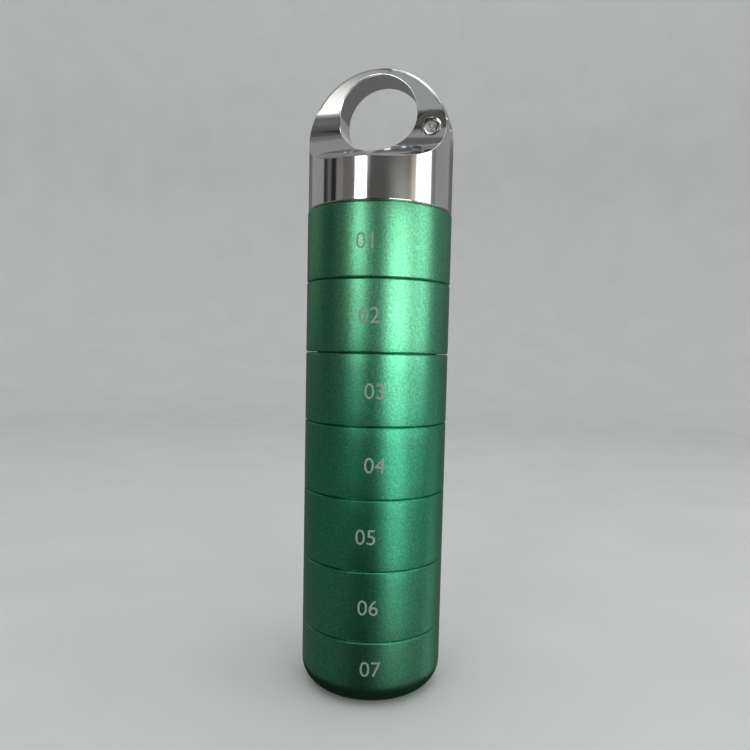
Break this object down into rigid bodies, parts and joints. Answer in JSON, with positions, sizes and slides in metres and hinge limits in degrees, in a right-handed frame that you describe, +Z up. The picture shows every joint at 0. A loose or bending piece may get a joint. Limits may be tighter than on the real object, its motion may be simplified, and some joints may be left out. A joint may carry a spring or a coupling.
{
  "type": "metal pill box",
  "caption": "Slim column of round screw-together metal cups for daily pills, closed by a polished domed cap milled to a carrying ring with a spring gate.",
  "frame": {"origin": "middle of the flat base of the lowest cup", "axes": "+Z up along the column; the ring stands across Y, so its hole runs along Y; the gate is on the +X side and -Y is the front"},
  "size_m": [0.03, 0.03, 0.1285],
  "materials": {
    "anodised_green": "bead-blasted, green anodised",
    "polished_cap": "mirror polished",
    "steel": "turned",
    "seal": "matt"
  },
  "bodies": {
    "saturday": {"saturday_cup": "anodised_green"},
    "friday_seal": {"friday_gasket": "seal"},
    "friday": {"friday_cup": "anodised_green"},
    "thursday_seal": {"thursday_gasket": "seal"},
    "thursday": {"thursday_cup": "anodised_green"},
    "wednesday_seal": {"wednesday_gasket": "seal"},
    "wednesday": {"wednesday_cup": "anodised_green"},
    "tuesday_seal": {"tuesday_gasket": "seal"},
    "tuesday": {"tuesday_cup": "anodised_green"},
    "monday_seal": {"monday_gasket": "seal"},
    "monday": {"monday_cup": "anodised_green"},
    "sunday_seal": {"sunday_gasket": "seal"},
    "sunday": {"sunday_cup": "anodised_green"},
    "cap_seal": {"cap_gasket": "seal"},
    "cap": {"ring_cap": "polished_cap", "gate_pin": "steel"},
    "gate": {"gate": "polished_cap", "gate_spring": "steel"}
  },
  "joints": [
    {"name": "friday_rise", "type": "slide", "parent": "saturday", "child": "friday_seal", "axis": [0, 0, 1], "range_m": [0, 0.003]},
    {"name": "friday_turn", "type": "hinge", "parent": "friday_seal", "child": "friday", "pos_m": [0, 0, 0.0138], "axis": [0, 0, 1], "range_deg": [0, 720]},
    {"name": "thursday_rise", "type": "slide", "parent": "friday", "child": "thursday_seal", "axis": [0, 0, 1], "range_m": [0, 0.003]},
    {"name": "thursday_turn", "type": "hinge", "parent": "thursday_seal", "child": "thursday", "pos_m": [0, 0, 0.02809], "axis": [0, 0, 1], "range_deg": [0, 720]},
    {"name": "wednesday_rise", "type": "slide", "parent": "thursday", "child": "wednesday_seal", "axis": [0, 0, 1], "range_m": [0, 0.003]},
    {"name": "wednesday_turn", "type": "hinge", "parent": "wednesday_seal", "child": "wednesday", "pos_m": [0, 0, 0.04238], "axis": [0, 0, 1], "range_deg": [0, 720]},
    {"name": "tuesday_rise", "type": "slide", "parent": "wednesday", "child": "tuesday_seal", "axis": [0, 0, 1], "range_m": [0, 0.003]},
    {"name": "tuesday_turn", "type": "hinge", "parent": "tuesday_seal", "child": "tuesday", "pos_m": [0, 0, 0.05667], "axis": [0, 0, 1], "range_deg": [0, 720]},
    {"name": "monday_rise", "type": "slide", "parent": "tuesday", "child": "monday_seal", "axis": [0, 0, 1], "range_m": [0, 0.003]},
    {"name": "monday_turn", "type": "hinge", "parent": "monday_seal", "child": "monday", "pos_m": [0, 0, 0.07096], "axis": [0, 0, 1], "range_deg": [0, 720]},
    {"name": "sunday_rise", "type": "slide", "parent": "monday", "child": "sunday_seal", "axis": [0, 0, 1], "range_m": [0, 0.003]},
    {"name": "sunday_turn", "type": "hinge", "parent": "sunday_seal", "child": "sunday", "pos_m": [0, 0, 0.08525], "axis": [0, 0, 1], "range_deg": [0, 720]},
    {"name": "cap_rise", "type": "slide", "parent": "sunday", "child": "cap_seal", "axis": [0, 0, 1], "range_m": [0, 0.003]},
    {"name": "cap_turn", "type": "hinge", "parent": "cap_seal", "child": "cap", "pos_m": [0, 0, 0.09954], "axis": [0, 0, 1], "range_deg": [0, 720]},
    {"name": "gate_swing", "type": "hinge", "parent": "cap", "child": "gate", "pos_m": [0.01097, 0, 0.11579], "axis": [0, -1, 0], "range_deg": [0, 35], "stiffness_Nm_per_rad": 0.004, "springref_deg": -57.3}
  ],
  "couplings": [
    {"joint": "friday_turn", "follows": "friday_rise", "rad_per_m": 4188.8},
    {"joint": "thursday_turn", "follows": "thursday_rise", "rad_per_m": 4188.8},
    {"joint": "wednesday_turn", "follows": "wednesday_rise", "rad_per_m": 4188.8},
    {"joint": "tuesday_turn", "follows": "tuesday_rise", "rad_per_m": 4188.8},
    {"joint": "monday_turn", "follows": "monday_rise", "rad_per_m": 4188.8},
    {"joint": "sunday_turn", "follows": "sunday_rise", "rad_per_m": 4188.8},
    {"joint": "cap_turn", "follows": "cap_rise", "rad_per_m": 4188.8}
  ]
}
